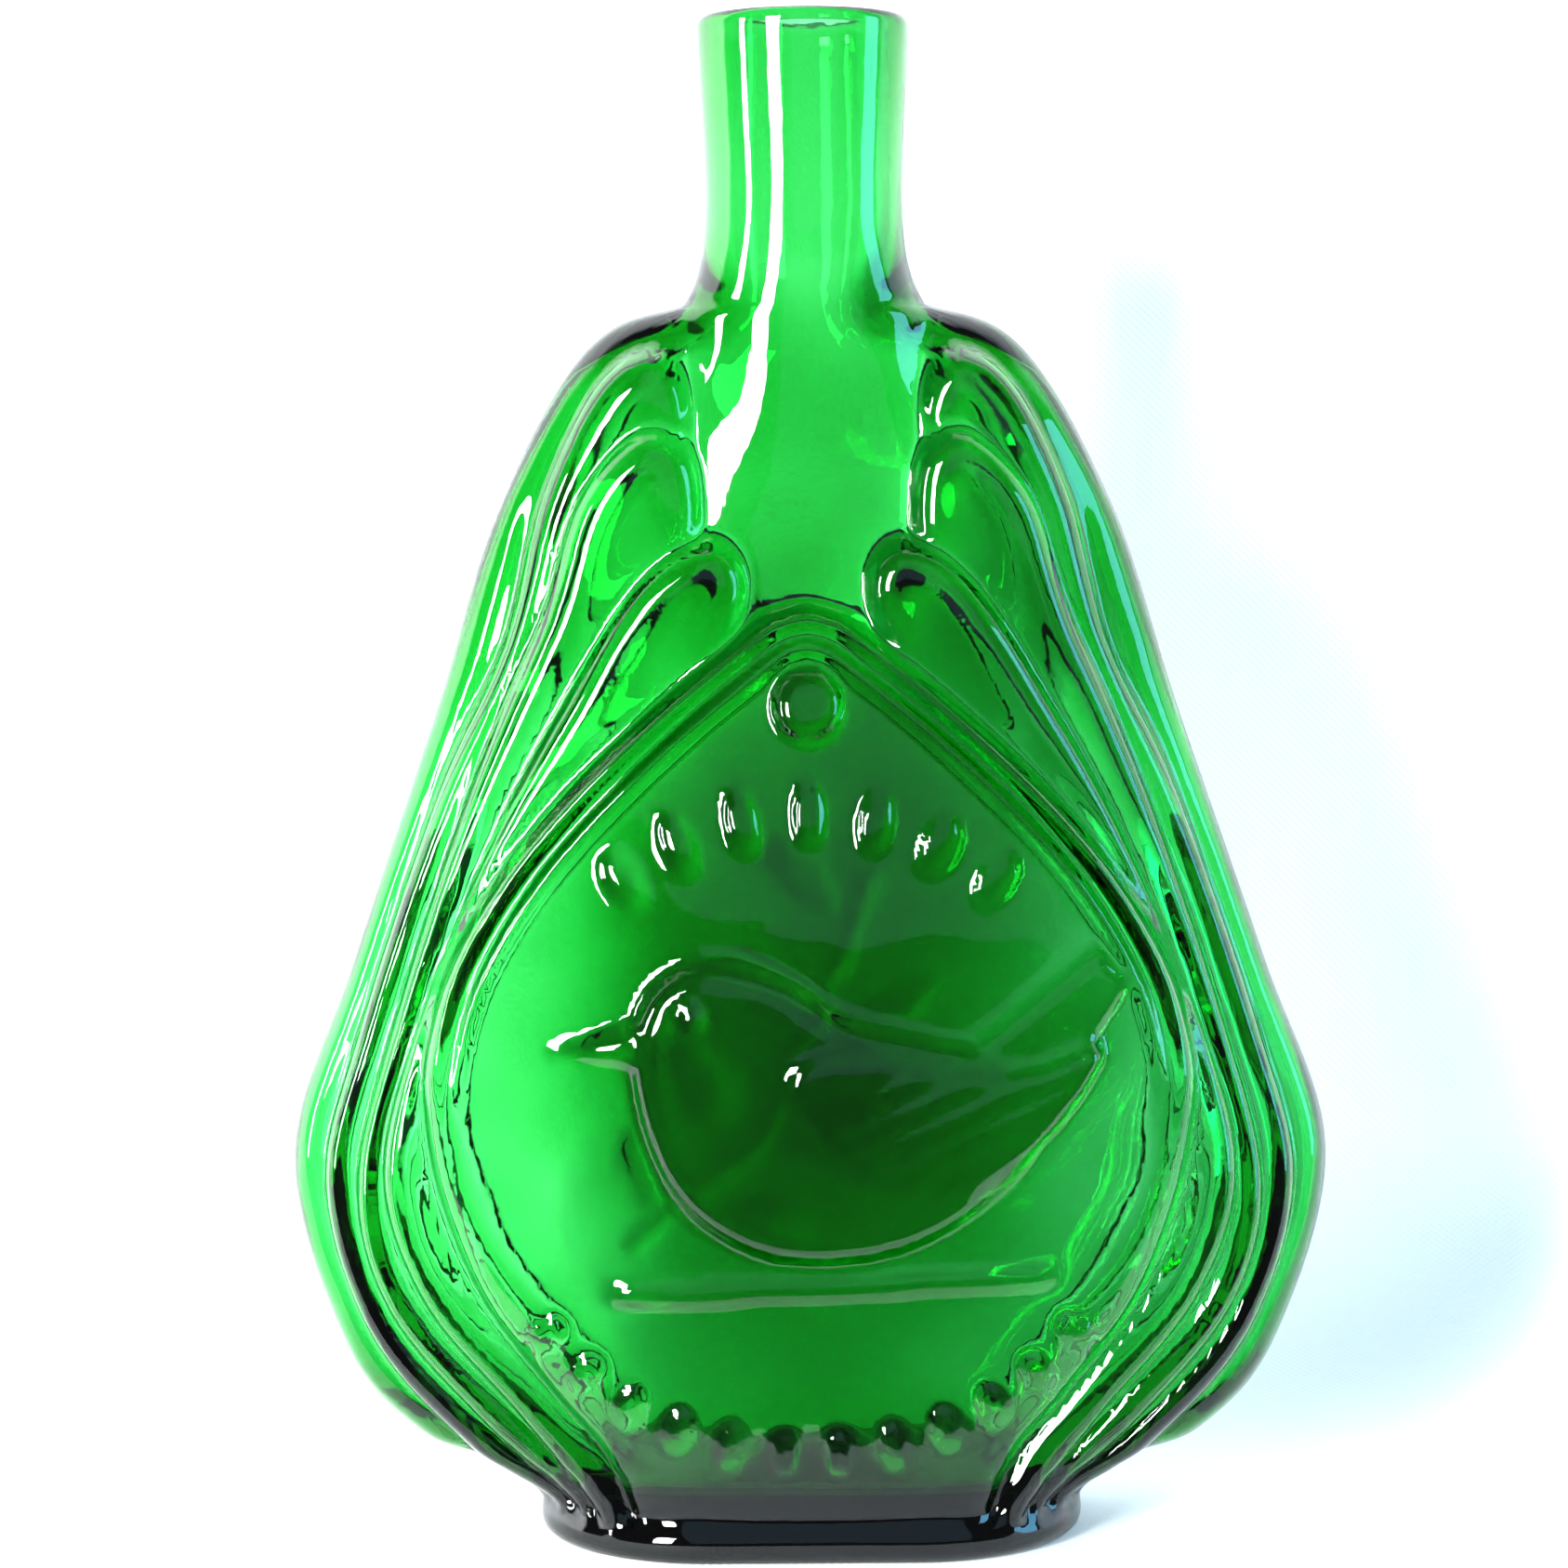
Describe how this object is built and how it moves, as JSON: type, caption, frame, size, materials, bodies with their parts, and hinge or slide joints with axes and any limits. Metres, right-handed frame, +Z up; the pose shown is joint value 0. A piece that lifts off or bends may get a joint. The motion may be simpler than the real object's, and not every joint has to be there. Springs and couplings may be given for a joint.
{
  "type": "decorative glass flask",
  "caption": "Flat pear-shaped flask of moulded green glass: side ribs end in petals, a domed front medallion carries a songbird in relief, with a plain open neck and an oval foot.",
  "frame": {"origin": "middle of the standing face under the foot", "axes": "+Z up along the neck, +X to the right across the body, the decorated front faces -Y"},
  "size_m": [0.1398, 0.0579, 0.2032],
  "materials": {
    "green_glass": "clear emerald moulded glass, fire-polished, slightly wavy"
  },
  "bodies": {
    "root": {"neck": "green_glass", "front_shell": "green_glass", "rear_shell": "green_glass", "foot": "green_glass"}
  },
  "joints": []
}
